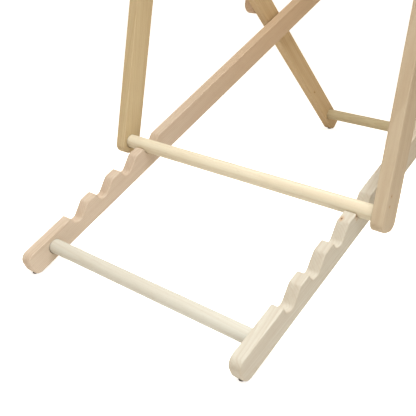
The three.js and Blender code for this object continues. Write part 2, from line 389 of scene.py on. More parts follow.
# %% [markdown]
# The seat rail is the one that makes this chair adjustable. Four notches are cut in its top edge.
# Each has a steep face that the prop rung pushes against and a long ramp that lets the rung climb
# out when the back is lifted. The seat of the notch is round, a hair larger than the rung.

# %% Seat rails with their notches
FIRST_TOOTH = 0.050
NOTCH_PITCH = 0.065
NOTCH_COUNT = 4
NOTCH_DEPTH = 0.017
NOTCH_RADIUS = RUNG_RADIUS + 0.0005
RAMP_SLOPE = math.tan(math.radians(34))
TOOTH_CORNER = 0.003
RAMP_CORNER = 0.010


def notched(tail, head, half, corner=END_RADIUS):
    corners = [(tail, -half, corner), (head, -half, corner), (head, half, corner)]
    seat = half - NOTCH_DEPTH + NOTCH_RADIUS
    foot = seat - NOTCH_RADIUS * (RAMP_SLOPE + math.hypot(1, RAMP_SLOPE))
    for i in reversed(range(NOTCH_COUNT)):
        face = FIRST_TOOTH + i * NOTCH_PITCH
        corners += [
            (face + (half - foot) / RAMP_SLOPE, half, RAMP_CORNER),
            (face, foot, NOTCH_RADIUS),
            (face, half, TOOTH_CORNER),
        ]
    return corners + [(tail, half, corner)]


for label, side in SIDES.items():
    node = "seat_rail_" + label
    low, high = measured(node, "seat")
    holes = sockets(side, -1, -1, 0, on_line("seat", "front_rung"))
    holes += pockets(side, MAIN_POCKET, on_line("seat", "main_washer_left"))
    add_board(node, "seat", side, notched(low.x, high.x, high.y), EASE, holes)
print("seat rail:", len(wood_pieces["seat_rail_left"].data.polygons), "faces")

# %% [markdown]
# The back rails, the prop rails, the posts and the armrests are plain boards. What tells them apart
# is their ends: square with rounded corners on the back rails and armrests, nearly a half circle
# where a prop or a post turns or is bolted, and a softer corner at the prop's foot.

# %% Back, prop, post and arm rails
ROUND_END = 0.0197  # just under half the height of a prop rail or a post

for label, side in SIDES.items():
    low, high = measured("back_rail_" + label, "back")
    arm_bolts = on_line("back", "post_washer_left"), on_line("back", "arm_rear_spacer_left")
    holes = sockets(side, -1, 1, on_line("back", "foot_rung"), on_line("back", "head_rung"))
    holes += through(MAIN_HOLE, 0)
    holes += pockets(side, MAIN_POCKET, on_line("back", "prop_washer_left"))
    holes += pockets(side, ARM_POCKET, *arm_bolts)
    corners = plain_rail(low.x, high.x, high.y)
    add_board("back_rail_" + label, "back", side, corners, EASE, holes)

    low, high = measured("prop_rail_" + label, "prop")
    holes = sockets(side, 1, -1, on_line("prop", "prop_rung")) + through(MAIN_HOLE, 0)
    corners = plain_rail(low.x, high.x, high.y, ROUND_END)
    add_board("prop_rail_" + label, "prop", side, corners, EASE, holes)

    low, high = measured("arm_post_" + label, "post")
    top = on_line("post", "arm_front_washer_left")
    holes = through(ARM_HOLE, 0) + pockets(side, ARM_POCKET, top)
    corners = plain_rail(low.x, high.x, high.y, ROUND_END, ROUND_END)
    add_board("arm_post_" + label, "post", side, corners, EASE, holes)

    low, high = measured("armrest_" + label, "arm")
    holes = through(ARM_HOLE, 0, on_line("arm", "arm_front_washer_left"))
    corners = plain_rail(low.x, high.x, high.y)
    add_board("armrest_" + label, "arm", side, corners, ARM_EASE, holes)
print(len(wood_pieces), "boards,", sum(len(p.data.polygons) for p in wood_pieces.values()), "faces")

# %% [markdown]
# A rung is a dowel: planed round by a machine, then glued into a blind socket. A perfect cylinder
# looks dead, because a real dowel is never quite even: the cutter leaves faint flats along it and
# the thickness drifts by a tenth of a millimetre. The rings along the dowel carry both.

# %% Rungs
ROD_SPOKES = 64
ROD_STEP = 0.012
ROD_CHAMFER = 0.0012
ROD_FLATS = 0.006  # how much the radius drifts round the dowel, as a share of it
ROD_DRIFT = 0.005  # and along it
ROD_MARGIN = 0.004  # taken off first, so that the drift stays inside the true radius


def rod(name, length, radius, seed):
    """A dowel along x, centred, with chamfered ends, nowhere thicker than its radius."""
    solid, rng = Solid(), random.Random(seed)
    flats = drifting(rng, ROD_SPOKES, ROD_FLATS)
    steps = round(length / ROD_STEP)
    thickness = drifting(rng, steps + 1, ROD_DRIFT)
    end, narrow = length / 2, radius - ROD_CHAMFER
    stations = [(-end, narrow), (-end + ROD_CHAMFER, radius)]
    stations += [(length * (k / steps - 0.5), radius) for k in range(1, steps)]
    stations += [(end - ROD_CHAMFER, radius), (end, narrow)]
    rings = []
    for n, (x, reach) in enumerate(stations):
        place = []
        for k in range(ROD_SPOKES):
            turn = math.tau * k / ROD_SPOKES
            r = reach * min(1.0, (flats[k] + thickness[min(n, steps)]) / 2 - ROD_MARGIN)
            place.append((x, r * math.cos(turn), r * math.sin(turn)))
        at_end = n in (0, len(stations) - 1)
        rings.append(solid.ring(place, 0.0, [1.0 if at_end else 0.0] * ROD_SPOKES))
    for a, b in zip(rings, rings[1:]):
        solid.join(a, b)
    for ring in (rings[0], rings[-1]):
        solid.bm.faces.new(ring)
    return solid.finished(name)


for seed, node in enumerate(("end_rung", "front_rung", "foot_rung", "head_rung", "prop_rung")):
    low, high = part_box(node)
    piece = rod(node + "_wood", high.x - low.x, RUNG_RADIUS, SEEDS["rung"] + seed)
    piece.matrix_world = Matrix.Translation((low + high) / 2)
    wood_pieces[node] = piece
    print(f"{node}: {(high.x - low.x) * 1000:.0f} mm long")

# %% [markdown]
# The hardware is turned on a lathe: a mushroom-head bolt that screws into a threaded insert, and a
# nylon washer between the two pieces of wood. Each is a profile swept round an axis. The bolt's
# socket for the hex key isn't round, so its rings take a radius that changes with the angle.

# %% Sweeping a profile round an axis
TURNED_SPOKES = 48


def hexagon(flat):
    """The radius of a hexagonal hole at an angle, for a key of the given half width."""
    sixth = math.pi / 3
    return lambda turn: flat / math.cos((turn + sixth / 2) % sixth - sixth / 2)


def turned(name, profile, close=False):
    """A profile of (radius, height, wear) swept round z. With close, it ends where it starts."""
    solid = Solid()
    turns = [math.tau * k / TURNED_SPOKES for k in range(TURNED_SPOKES)]
    rings = []
    for radius, height, worn in profile:
        reach = radius if callable(radius) else (lambda turn, r=radius: r)
        places = [(reach(t) * math.cos(t), reach(t) * math.sin(t), height) for t in turns]
        rings.append(solid.ring(places, worn))
    for a, b in zip(rings, rings[1:] + rings[:1] if close else rings[1:]):
        solid.join(a, b)
    if not close:
        for ring in (rings[0], rings[-1]):
            solid.bm.faces.new(ring)
    return solid.finished(name)


def facing(place, outward):
    """Stands a turned piece at a place with its z pointing outwards."""
    turn = outward.to_track_quat("Z", "Y").to_matrix().to_4x4()
    return Matrix.Translation(place) @ turn


print("a turned piece has", TURNED_SPOKES, "points in each ring")

# %% [markdown]
# The profiles are lists of radius, height and wear. A bolt's head is a low dome over a rolled rim,
# with the key hole sunk into its top. Washers, spacers and glides only need their rims softened,
# but even that small radius catches the light and tells the eye how big the piece is.

# %% Profiles of bolts, washers and glides
BOLT_RIM = 0.0006
BOLT_SHOULDER = BOLT_RIM * 1.6  # height at which the dome starts
BOLT_TIP = 0.0008
DOME_ANGLES = [math.radians(10 * k) for k in range(9)]
KEY_DEPTH = 0.0022
# Round the key hole, as shares of the shank's radius.
DOME_END, KEY_FLAT, KEY_HALF, KEY_FLOOR = 0.62, 0.56, 0.42, 0.16


def bolt_profile(shank, head, rise, length):
    """A domed head with a rolled rim on a shank, from the shank's tip to the key hole's floor."""
    dome = []
    for a in DOME_ANGLES:
        reach = BOLT_RIM + (head - BOLT_RIM) * math.cos(a)
        if reach > shank * DOME_END:
            up = BOLT_SHOULDER + (rise - BOLT_SHOULDER) * math.sin(a)
            dome.append((reach, up, 0.1))
    key = hexagon(shank * KEY_HALF)
    top = dome[-1][1]
    return [
        (shank - BOLT_TIP, -length, 0.3),
        (shank, -length + BOLT_TIP, 0.3),
        (shank, -0.0004, 0),
        (shank, 0, 0),
        (head - BOLT_RIM, 0, 0.2),
        (head, BOLT_RIM * 0.5, 0.6),
        *dome,
        (shank * KEY_FLAT, top + 0.0001, 1.0),
        (key, top - 0.0002, 0.8),
        (key, top - KEY_DEPTH, 0),
        (shank * KEY_FLOOR, top - KEY_DEPTH - 0.0005, 0),
    ]


def ring_profile(hole, outer, length):
    """A washer or a spacer with softened rims."""
    soft = min(0.0004, length / 4)
    return [
        (hole, soft, 0.3),
        (hole + soft, 0, 0.6),
        (outer - soft, 0, 0.6),
        (outer, soft, 0.6),
        (outer, length - soft, 0.6),
        (outer - soft, length, 0.6),
        (hole + soft, length, 0.6),
        (hole, length - soft, 0.3),
    ]


def glide_profile(radius, length):
    """A plug with a rounded rim and a shallow dimple, which the floor wears at the rim."""
    soft = 0.0009
    return [
        (radius - 0.0003, 0, 0),
        (radius, 0.0003, 0),
        (radius, length - soft, 0.2),
        (radius - soft * 0.3, length - soft * 0.3, 0.8),
        (radius - soft, length, 1.0),
        (radius * 0.55, length, 0.7),
        (radius * 0.45, length - 0.0004, 0.3),
        (radius * 0.2, length - 0.0004, 0.3),
    ]


print("a glide's profile has", len(glide_profile(0.008, 0.008)), "points")

# %% [markdown]
# Each turned piece stands where its plain part stands in the frame, measured from that part's own
# box. Bolts and washers point outwards from the chair, and the glides point down.

# %% Bolts, washers, spacers and glides in place
LARGE_BOLT = (0.004, 0.010, 0.0042)  # radius of the shank, radius of the head, height of the head
SMALL_BOLT = (0.003, 0.008, 0.0034)
BOLTS = {
    "main": LARGE_BOLT,
    "prop": LARGE_BOLT,
    "post": SMALL_BOLT,
    "arm_rear": SMALL_BOLT,
    "arm_front": SMALL_BOLT,
}
WASHER_PLAY = 0.0003
small_pieces = {}


def add_turned(node, ending, profile, start, outward, close=False):
    piece = turned(node + ending, profile, close)
    piece.matrix_world = facing(start, outward)
    small_pieces[node] = piece


for label, side in SIDES.items():
    outward = ACROSS * side
    for name, (shank, head, rise) in BOLTS.items():
        node = f"{name}_bolt_{label}"
        low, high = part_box(node)
        length = high.x - low.x - rise
        start = centre(node)
        start.x = -side * (min(abs(low.x), abs(high.x)) + length)
        add_turned(node, "_steel", bolt_profile(shank, head, rise, length), start, outward)

        node = f"{name}_{'spacer' if name == 'arm_rear' else 'washer'}_{label}"
        low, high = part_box(node)
        start = centre(node)
        start.x = -side * min(abs(low.x), abs(high.x))
        profile = ring_profile(shank + WASHER_PLAY, (high.z - low.z) / 2, high.x - low.x)
        add_turned(node, "_nylon", profile, start, outward, close=True)
    for name in ("heel", "foot"):
        node = f"{name}_glide_{label}"
        low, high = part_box(node)
        start = centre(node)
        start.z = high.z
        profile = glide_profile((high.x - low.x) / 2, high.z - low.z)
        add_turned(node, "_plastic", profile, start, Vector((0, 0, -1)))
print(len(small_pieces), "turned pieces; inserts stay as they are in the frame")

# %% [markdown]
# Finishes are built from shader nodes. A few short helpers keep the recipes readable: one adds a
# node and fills its sockets, one does sums, and one makes an empty group with named sockets. A
# group holds an effect that several finishes share, such as grain or wear.

# %% Helpers for shader nodes
class Recipe:
    """Writes nodes into a tree. A socket's value may be a number, a tuple or another socket."""

    def __init__(self, tree):
        self.tree = tree

    def node(self, kind, settings=None, **values):
        made = self.tree.nodes.new("ShaderNode" + kind)
        for key, value in (settings or {}).items():
            setattr(made, key, value)
        for key, value in values.items():
            self.feed(made.inputs[key.replace("_", " ")], value)
        return made

    def feed(self, socket, value):
        if isinstance(value, bpy.types.NodeSocket):
            self.tree.links.new(value, socket)
        else:
            socket.default_value = value

    def sum(self, operation, *values, clamp=False):
        made = self.node("Math", {"operation": operation, "use_clamp": clamp})
        for socket, value in zip(made.inputs, values):
            self.feed(socket, value)
        return made.outputs[0]

    def vector(self, operation, *values, output=0):
        made = self.node("VectorMath", {"operation": operation})
        for socket, value in zip(made.inputs, values):
            self.feed(socket, value)
        return made.outputs[output]

    def scaled(self, place, factors):
        return self.vector("MULTIPLY", place, factors)

    def times(self, place, factor):
        """A place times one number, which may come from a socket."""
        made = self.node("VectorMath", {"operation": "SCALE"}, Scale=factor)
        self.feed(made.inputs[0], place)
        return made.outputs[0]

    def ramp(self, value, low, high, start=0.0, end=1.0):
        """Goes smoothly from start to end as value goes from low to high."""
        made = self.node("MapRange", {"interpolation_type": "SMOOTHSTEP"})
        for socket, given in zip(made.inputs, (value, low, high, start, end)):
            self.feed(socket, given)
        return made.outputs["Result"]

    def noise(self, place, scale, detail=2.0, roughness=0.5):
        made = self.node("TexNoise", {}, Vector=place, Scale=scale)
        self.feed(made.inputs["Detail"], detail)
        self.feed(made.inputs["Roughness"], roughness)
        return made.outputs

    def blend(self, share, a, b):
        """Colour a with a share of colour b over it, on the Mix node's colour sockets."""
        made = self.node("Mix", {"data_type": "RGBA", "blend_type": "MIX"})
        for index, value in ((0, share), (6, a), (7, b)):
            self.feed(made.inputs[index], value)
        return made.outputs[2]


def new_group(name, takes, gives):
    """An empty node group. takes are (name, kind, default), gives are (name, kind)."""
    tree = bpy.data.node_groups.new(name, "ShaderNodeTree")
    new_socket = tree.interface.new_socket
    for label, kind, default in takes:
        socket = new_socket(label, in_out="INPUT", socket_type="NodeSocket" + kind)
        socket.default_value = default
    for label, kind in gives:
        new_socket(label, in_out="OUTPUT", socket_type="NodeSocket" + kind)
    start, end = tree.nodes.new("NodeGroupInput"), tree.nodes.new("NodeGroupOutput")
    return Recipe(tree), start.outputs, end.inputs


def place_group(recipe, name, **values):
    made = recipe.node("Group", {"node_tree": bpy.data.node_groups[name]}, **values)
    return made.outputs


print("helpers for shader nodes ready")

# %% [markdown]
# Wood grain is a solid pattern: a tree grows rings round its pith, and a board is a slice from
# somewhere beside it. So the pattern is built in three dimensions, as rings round a line that lies
# outside the board and leans a little. Sides, edges and ends then agree with each other for free.
# Finer things ride on top: broad streaks of colour, fibres, and the dark dashes of open pores.
# Each is a noise stretched along the grain, so its scale is small along x and large across it.

# %% Grain group
WANDER_SCALE = (3.0, 16.0, 16.0)  # features to the metre
WANDER_REACH = (0, 0.010, 0.010)
STREAK_SCALE = (2.4, 85.0, 85.0)
FIBRE_SCALE = (34.0, 1100.0, 1100.0)
PORE_SCALE = (95.0, 2300.0, 2300.0)
grain, take, give = new_group(
    "Grain",
    [
        ("Place", "Vector", (0, 0, 0)),
        ("Pith", "Vector", (0, 0.06, 0.03)),
        ("Lean", "Vector", (0, 0.03, 0.02)),
        ("Ring Width", "Float", 0.0032),
    ],
    [("Rings", "Float"), ("Streaks", "Float"), ("Fibres", "Float"), ("Pores", "Float")],
)
wander = grain.noise(grain.scaled(take["Place"], WANDER_SCALE), 1.0, 2.0)["Color"]
wander = grain.scaled(grain.vector("SUBTRACT", wander, (0.5, 0.5, 0.5)), WANDER_REACH)
along = grain.node("SeparateXYZ", {}, Vector=take["Place"]).outputs["X"]
leaning = grain.times(take["Lean"], along)
offset = grain.vector("ADD", grain.vector("SUBTRACT", take["Place"], take["Pith"]), wander)
offset = grain.vector("ADD", grain.scaled(offset, (0, 1, 1)), leaning)
age = grain.sum("DIVIDE", grain.vector("LENGTH", offset, output=1), take["Ring Width"])
year = grain.sum("FRACT", age)
late = grain.sum("MULTIPLY", grain.ramp(year, 0.25, 0.93), grain.ramp(year, 0.93, 1.0, 1.0, 0.0))
which = grain.sum("FLOOR", age)
luck = grain.node("TexWhiteNoise", {"noise_dimensions": "1D"}, W=which).outputs["Value"]
grain.feed(give["Rings"], grain.sum("MULTIPLY", late, grain.ramp(luck, 0.0, 1.0, 0.35, 1.0)))
streaks = grain.noise(grain.scaled(take["Place"], STREAK_SCALE), 1.0, 3.0, 0.55)["Fac"]
grain.feed(give["Streaks"], grain.ramp(streaks, 0.32, 0.70))
fibres = grain.noise(grain.scaled(take["Place"], FIBRE_SCALE), 1.0, 2.0, 0.6)["Fac"]
grain.feed(give["Fibres"], grain.ramp(fibres, 0.3, 0.7))
pores = grain.noise(grain.scaled(take["Place"], PORE_SCALE), 1.0, 1.0)["Fac"]
grain.feed(give["Pores"], grain.ramp(pores, 0.66, 0.76))
print("Grain:", len(grain.tree.nodes), "nodes")

# %% [markdown]
# A small knot is where a twig left the trunk. It shows as a dark core with a warm halo, and the
# grain flows round it like water round a stone. The group gives both masks, and also the place
# pushed aside, so that the grain group that reads it bends.

# %% Knot group
RAGGED_SCALE = (500.0, 500.0, 500.0)
KNOT_SHAPE = (0.6, 1.0, 1.0)  # drawn out along the grain
knot, take, give = new_group(
    "Knot",
    [
        ("Place", "Vector", (0, 0, 0)),
        ("Centre", "Vector", (0, 0, 0)),
        ("Radius", "Float", 0.003),
    ],
    [("Place", "Vector"), ("Core", "Float"), ("Halo", "Float")],
)
away = knot.vector("SUBTRACT", take["Place"], take["Centre"])
ragged = knot.noise(knot.scaled(take["Place"], RAGGED_SCALE), 1.0, 2.0)["Fac"]
distance = knot.vector("LENGTH", knot.scaled(away, KNOT_SHAPE), output=1)
distance = knot.sum("DIVIDE", distance, take["Radius"])
distance = knot.sum("ADD", distance, knot.sum("MULTIPLY_ADD", ragged, 0.7, -0.35))
push = knot.ramp(distance, 0.3, 6.0, 0.75, 0.0)
pushed = knot.times(knot.scaled(away, (0, 1, 1)), push)
knot.feed(give["Place"], knot.vector("SUBTRACT", take["Place"], pushed))
knot.feed(give["Core"], knot.ramp(distance, 0.55, 1.0, 1.0, 0.0))
knot.feed(give["Halo"], knot.ramp(distance, 0.9, 3.2, 1.0, 0.0))
print("Knot:", len(knot.tree.nodes), "nodes")

# %% [markdown]
# Hands, storage and sandpaper leave marks on every material, so these two groups are shared by
# wood, steel and plastic. Wear breaks the marked edges into patches. Handling gives slow blotches
# of tone and a scatter of tiny dents, which go to the bump.

# %% Wear and handling groups
wear, take, give = new_group(
    "Wear",
    [("Place", "Vector", (0, 0, 0)), ("Edge", "Float", 0.0), ("Patch Size", "Float", 0.01)],
    [("Mask", "Float")],
)
patches = wear.times(take["Place"], wear.sum("DIVIDE", 1.0, take["Patch Size"]))
broken = wear.ramp(wear.noise(patches, 1.0, 3.0, 0.6)["Fac"], 0.3, 0.65, 0.25, 1.0)
wear.feed(give["Mask"], wear.sum("MULTIPLY", take["Edge"], broken, clamp=True))

handling, take, give = new_group(
    "Handling",
    [("Place", "Vector", (0, 0, 0)), ("Size", "Float", 0.12)],
    [("Blotches", "Float"), ("Dents", "Float")],
)
spread = handling.times(take["Place"], handling.sum("DIVIDE", 1.0, take["Size"]))
blotches = handling.noise(handling.scaled(spread, (0.5, 1.0, 1.0)), 1.0, 2.0)["Fac"]
handling.feed(give["Blotches"], handling.ramp(blotches, 0.3, 0.7))
crowded = handling.scaled(spread, (9.0, 9.0, 9.0))
cells = handling.node("TexVoronoi", {}, Vector=crowded, Scale=1.0)
chosen = handling.node("SeparateColor", {}, Color=cells.outputs["Color"]).outputs[0]
dent = handling.ramp(cells.outputs["Distance"], 0.0, 0.09, 1.0, 0.0)
handling.feed(give["Dents"], handling.sum("MULTIPLY", dent, handling.ramp(chosen, 0.8, 0.85)))
print("Wear and Handling ready")

# %% [markdown]
# The wood is pale and close grained, with no varnish on it: cream where it is planed, faintly pink
# in broad streaks. Bare wood has a wide, weak shine, so it is rough, and rougher still on the end
# grain, which also drinks in dirt and looks a little darker. Every board gets its own slice of
# the tree, its own tone and its own knots.

# %% How a material starts, and the tones of the wood
def start_material(name):
    material = bpy.data.materials.new(name)
    material.use_nodes = True
    recipe = Recipe(material.node_tree)
    shader = material.node_tree.nodes["Principled BSDF"]
    place = recipe.node("TexCoord").outputs["Object"]
    return material, recipe, shader, place


def attribute(recipe, name):
    return recipe.node("Attribute", {"attribute_name": name}).outputs["Fac"]


def bump(recipe, shader, height, depth):
    """depth is how far, in metres, a height of one stands out."""
    made = recipe.node("Bump", {}, Height=height, Distance=depth, Strength=1.0)
    recipe.feed(shader.inputs["Normal"], made.outputs["Normal"])


RAIL_TONES = {
    "pale": (0.70, 0.545, 0.395, 1),
    "warm": (0.60, 0.435, 0.30, 1),
    "late": (0.53, 0.36, 0.23, 1),
}
RUNG_TONES = {
    "pale": (0.76, 0.655, 0.475, 1),
    "warm": (0.70, 0.57, 0.39, 1),
    "late": (0.61, 0.47, 0.30, 1),
}
# painted shade: the darker, warmer tone that the seat rails take towards the front, where the light
# falls off
FALLOFF_SHADE_TONE = (0.65, 0.47, 0.29, 1)
KNOT_AND_SHADE_CORE = (0.13, 0.06, 0.028, 1)
KNOT_AND_SHADE_HALO = (0.50, 0.27, 0.10, 1)
PORE_BROWN = (0.40, 0.27, 0.17, 1)
SANDED = (0.80, 0.68, 0.53, 1)
print("a rail has", len(RAIL_TONES), "tones, a rung has", len(RUNG_TONES))

# %% [markdown]
# The recipe lays one mark over another, from the broadest to the finest, each with its own share
# of a tone. What the eye reads as bare wood is that the same marks come back three times: in the
# colour, in the roughness, and, very shallow, in the relief. The notched rails also get a painted
# shade that turns them darker and warmer towards the front of the chair, where the light falls off.

# %% Bare wood
SHOWS = {"Streaks": 0.75, "Blotches": 0.35, "Rings": 0.42, "Fibres": 0.16, "Pores": 0.35}
END_GRAIN_SHOWS, WEAR_SHOWS, FALLOFF_SHADE_SHOWS = 0.22, 0.08, 0.8
HALO_SHOWS, CORE_SHOWS = 0.55, 0.9
BARE_ROUGHNESS = 0.50
ROUGHER = {"Fibres": 0.12, "Pores": 0.1}
END_GRAIN_ROUGHER, WEAR_ROUGHER = 0.16, -0.06
RAISED = {"Rings": 0.25, "Fibres": 0.35, "Pores": -0.8, "Dents": -1.6}
WOOD_RELIEF = 0.00005
PITH_ASIDE, PITH_DOWN = (0.03, 0.09), 0.06  # the boards are slices from beside the pith
WOOD_SHINE = 0.42


def bare_wood(name, tones, rng, knots_and_shade_spots=(), falloff_shade=None):
    """The knot list holds (x, y, z, radius) in the piece's own directions, for knots and for dark
    spots of painted shade. The span is (from x, to x) along which painted shade makes the wood
    darker and warmer.
    """
    material, recipe, shader, place = start_material(name)
    slice_shift = (rng.uniform(2, 9), rng.uniform(2, 9), rng.uniform(2, 9))
    aside = rng.choice((-1, 1)) * rng.uniform(*PITH_ASIDE)
    pith = Vector((0, aside, rng.uniform(-PITH_DOWN, PITH_DOWN)))
    bent, knot_and_shade_cores, knot_and_shade_halos = place, 0.0, 0.0
    for x, y, z, radius in knots_and_shade_spots:
        found = place_group(recipe, "Knot", Place=bent, Centre=(x, y, z), Radius=radius)
        bent = found["Place"]
        knot_and_shade_cores = recipe.sum("MAXIMUM", found["Core"], knot_and_shade_cores)
        knot_and_shade_halos = recipe.sum("MAXIMUM", found["Halo"], knot_and_shade_halos)
    shifted = recipe.vector("ADD", bent, slice_shift)
    marks = place_group(
        recipe,
        "Grain",
        Place=shifted,
        Pith=Vector(slice_shift) + pith,
        Lean=(0, rng.uniform(-0.05, 0.05), rng.uniform(-0.03, 0.03)),
        Ring_Width=rng.uniform(0.0026, 0.0042),
    )
    end_grain, edge = attribute(recipe, "end_grain"), attribute(recipe, "worn")
    worn = place_group(recipe, "Wear", Place=shifted, Edge=edge, Patch_Size=0.02)["Mask"]
    used = place_group(recipe, "Handling", Place=shifted, Size=0.11)

    def over(colour, mask, share, tone):
        return recipe.blend(recipe.sum("MULTIPLY", mask, share), colour, tone)

    colour = over(tones["pale"], marks["Streaks"], SHOWS["Streaks"], tones["warm"])
    colour = over(colour, used["Blotches"], SHOWS["Blotches"], tones["warm"])
    # painted shade: the seat rail turns darker and warmer towards the front, for the light's
    # fall-off
    if falloff_shade:
        along = recipe.node("SeparateXYZ", {}, Vector=place).outputs["X"]
        warm = recipe.ramp(along, *falloff_shade, 0.0, FALLOFF_SHADE_SHOWS)
        colour = recipe.blend(warm, colour, FALLOFF_SHADE_TONE)
    colour = over(colour, marks["Rings"], SHOWS["Rings"], tones["late"])
    fibres = recipe.ramp(marks["Fibres"], 0, 1, 0.0, SHOWS["Fibres"])
    colour = recipe.blend(fibres, colour, tones["late"])
    colour = over(colour, marks["Pores"], SHOWS["Pores"], PORE_BROWN)
    colour = over(colour, end_grain, END_GRAIN_SHOWS, tones["late"])
    colour = over(colour, worn, WEAR_SHOWS, SANDED)
    # knots, and the dark spots of painted shade beside the prop rung, laid over the wood
    if knots_and_shade_spots:
        colour = over(colour, knot_and_shade_halos, HALO_SHOWS, KNOT_AND_SHADE_HALO)
        colour = over(colour, knot_and_shade_cores, CORE_SHOWS, KNOT_AND_SHADE_CORE)
    recipe.feed(shader.inputs["Base Color"], colour)

    rough = recipe.sum("MULTIPLY_ADD", marks["Fibres"], ROUGHER["Fibres"], BARE_ROUGHNESS)
    rough = recipe.sum("MULTIPLY_ADD", end_grain, END_GRAIN_ROUGHER, rough)
    rough = recipe.sum("MULTIPLY_ADD", marks["Pores"], ROUGHER["Pores"], rough)
    rough = recipe.sum("MULTIPLY_ADD", worn, WEAR_ROUGHER, rough, clamp=True)
    recipe.feed(shader.inputs["Roughness"], rough)

    height = recipe.sum("MULTIPLY", marks["Rings"], RAISED["Rings"])
    height = recipe.sum("MULTIPLY_ADD", marks["Fibres"], RAISED["Fibres"], height)
    height = recipe.sum("MULTIPLY_ADD", marks["Pores"], RAISED["Pores"], height)
    height = recipe.sum("MULTIPLY_ADD", used["Dents"], RAISED["Dents"], height)
    bump(recipe, shader, height, WOOD_RELIEF)
    shader.inputs["Specular IOR Level"].default_value = WOOD_SHINE
    return material


print(f"bare wood stands out by {WOOD_RELIEF * 1000:.2f} mm, at a roughness of {BARE_ROUGHNESS}")

# %% [markdown]
# A chair like this is glued up from whatever boards are in the pile, so neighbours differ, and the
# tints carry that and painted light as well: the notched rails and the end and prop rungs are the
# palest, as if washed out by the light, the prop is a little yellower, and the back frame, far from
# the light, is darker and warmer, a painted shade of the light's fall-off. Each piece takes the
# common tones times its own tint, and its own knots; two dark spots of painted shade ride with
# them.

# %% Give every wooden piece its own slice of wood
# each tint is partly wood tone and partly painted light: paler near the light at the rear, darker
# and warmer on the back frame far from it
TONE_AND_SHADE_TINTS = {
    "seat_rail_right": (0.88, 1.10, 1.31),
    "seat_rail_left": (0.95, 1.04, 1.15),
    "prop_rail_right": (0.87, 0.96, 0.97),
    "prop_rail_left": (0.97, 1.05, 0.90),
    "back_rail_right": (0.99, 1.00, 0.82),
    "back_rail_left": (0.99, 1.00, 0.82),
    "end_rung": (0.86, 1.01, 1.26),
    "prop_rung": (1.03, 1.13, 1.24),
    "foot_rung": (0.80, 0.83, 0.76),
    "head_rung": (0.90, 0.94, 0.90),
}
KNOTS_AND_SHADE_SPOTS = {
    "seat_rail_right": [
        (0.2270, 0.0203, -0.0052, 0.0016),
        # painted shade: these two dark spots sit beside the prop rung's seat, where the gap between
        # rung and notch is in shade; they are not knots
        (0.2432, 0.0165, 0.0105, 0.0016),
        (0.2422, 0.0115, 0.0105, 0.0009),
        (0.62, 0.004, 0.0105, 0.0030),
    ],
    "seat_rail_left": [(0.44, -0.009, -0.0105, 0.0026), (0.84, 0.006, -0.0105, 0.0034)],
    "prop_rail_right": [(0.4866, -0.0095, 0.0105, 0.0009), (0.5021, -0.0095, 0.0105, 0.0008)],
    "back_rail_left": [(0.36, 0.008, -0.0105, 0.0032), (-0.25, 0.007, 0.0105, 0.0012)],
    "back_rail_right": [(0.62, -0.006, 0.0105, 0.0036)],
    "armrest_left": [(0.17, 0.006, 0.013, 0.0028)],
    "head_rung": [(0.11, 0.009, 0.0087, 0.0018)],
}
NO_TINT = (1, 1, 1)
FALLOFF_SHADE_SPAN = (0.25, 0.78)  # from where to where along a seat rail a painted shade makes the wood darker and warmer


def tinted(tones, tint):
    factors = (*tint, 1)
    return {
        name: tuple(min(1.0, c * factor) for c, factor in zip(colour, factors))
        for name, colour in tones.items()
    }


for seed, (node, piece) in enumerate(wood_pieces.items()):
    is_rung = node.endswith("rung")
    tones = tinted(RUNG_TONES if is_rung else RAIL_TONES, TONE_AND_SHADE_TINTS.get(node, NO_TINT))
    # the seat rails get the painted shade towards the front
    falloff_shade = FALLOFF_SHADE_SPAN if node.startswith("seat_rail") else None
    rng = random.Random(SEEDS["finish"] + seed)
    finish = bare_wood(node + "_finish", tones, rng, KNOTS_AND_SHADE_SPOTS.get(node, ()), falloff_shade)
    piece.data.materials.append(finish)
    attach(piece, body_of[node])
    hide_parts(node)
print(len(wood_pieces), "wooden pieces finished")

# %% [markdown]
# The bolts are zinc plated: pale, slightly mottled, with rings left by the turning tool. The
# inserts are darker, die-cast, and almost hidden. Nylon washers and the plastic glides under the
# feet are moulded, with a fine dull grain and scuffs where they touch the floor.

# %% Steel and plastic
TOOLING_SCALE = 5200.0  # turning marks to the metre
STEEL_RELIEF = 0.00003
RUBBED_BRIGHT = (0.86, 0.85, 0.82, 1)
MOULD_SCALE = 2600.0
PLASTIC_RELIEF = 0.00005


def plated_steel(name, bright, dull, roughness):
    material, recipe, shader, place = start_material(name)
    edge = attribute(recipe, "worn")
    worn = place_group(recipe, "Wear", Place=place, Edge=edge, Patch_Size=0.004)["Mask"]
    used = place_group(recipe, "Handling", Place=place, Size=0.006)
    x, y, _ = recipe.node("SeparateXYZ", {}, Vector=place).outputs
    squares = recipe.sum("ADD", recipe.sum("MULTIPLY", x, x), recipe.sum("MULTIPLY", y, y))
    reach = recipe.node("CombineXYZ", {}, X=recipe.sum("SQRT", squares)).outputs[0]
    tooling = recipe.noise(reach, TOOLING_SCALE, 2.0)["Fac"]
    colour = recipe.blend(used["Blotches"], bright, dull)
    colour = recipe.blend(recipe.sum("MULTIPLY", worn, 0.5), colour, RUBBED_BRIGHT)
    recipe.feed(shader.inputs["Base Color"], colour)
    shader.inputs["Metallic"].default_value = 1.0
    rough = recipe.sum("MULTIPLY_ADD", used["Blotches"], 0.14, roughness)
    rough = recipe.sum("MULTIPLY_ADD", tooling, 0.1, rough, clamp=True)
    recipe.feed(shader.inputs["Roughness"], rough)
    height = recipe.sum("MULTIPLY_ADD", used["Dents"], -1.0, tooling)
    bump(recipe, shader, height, STEEL_RELIEF)
    return material


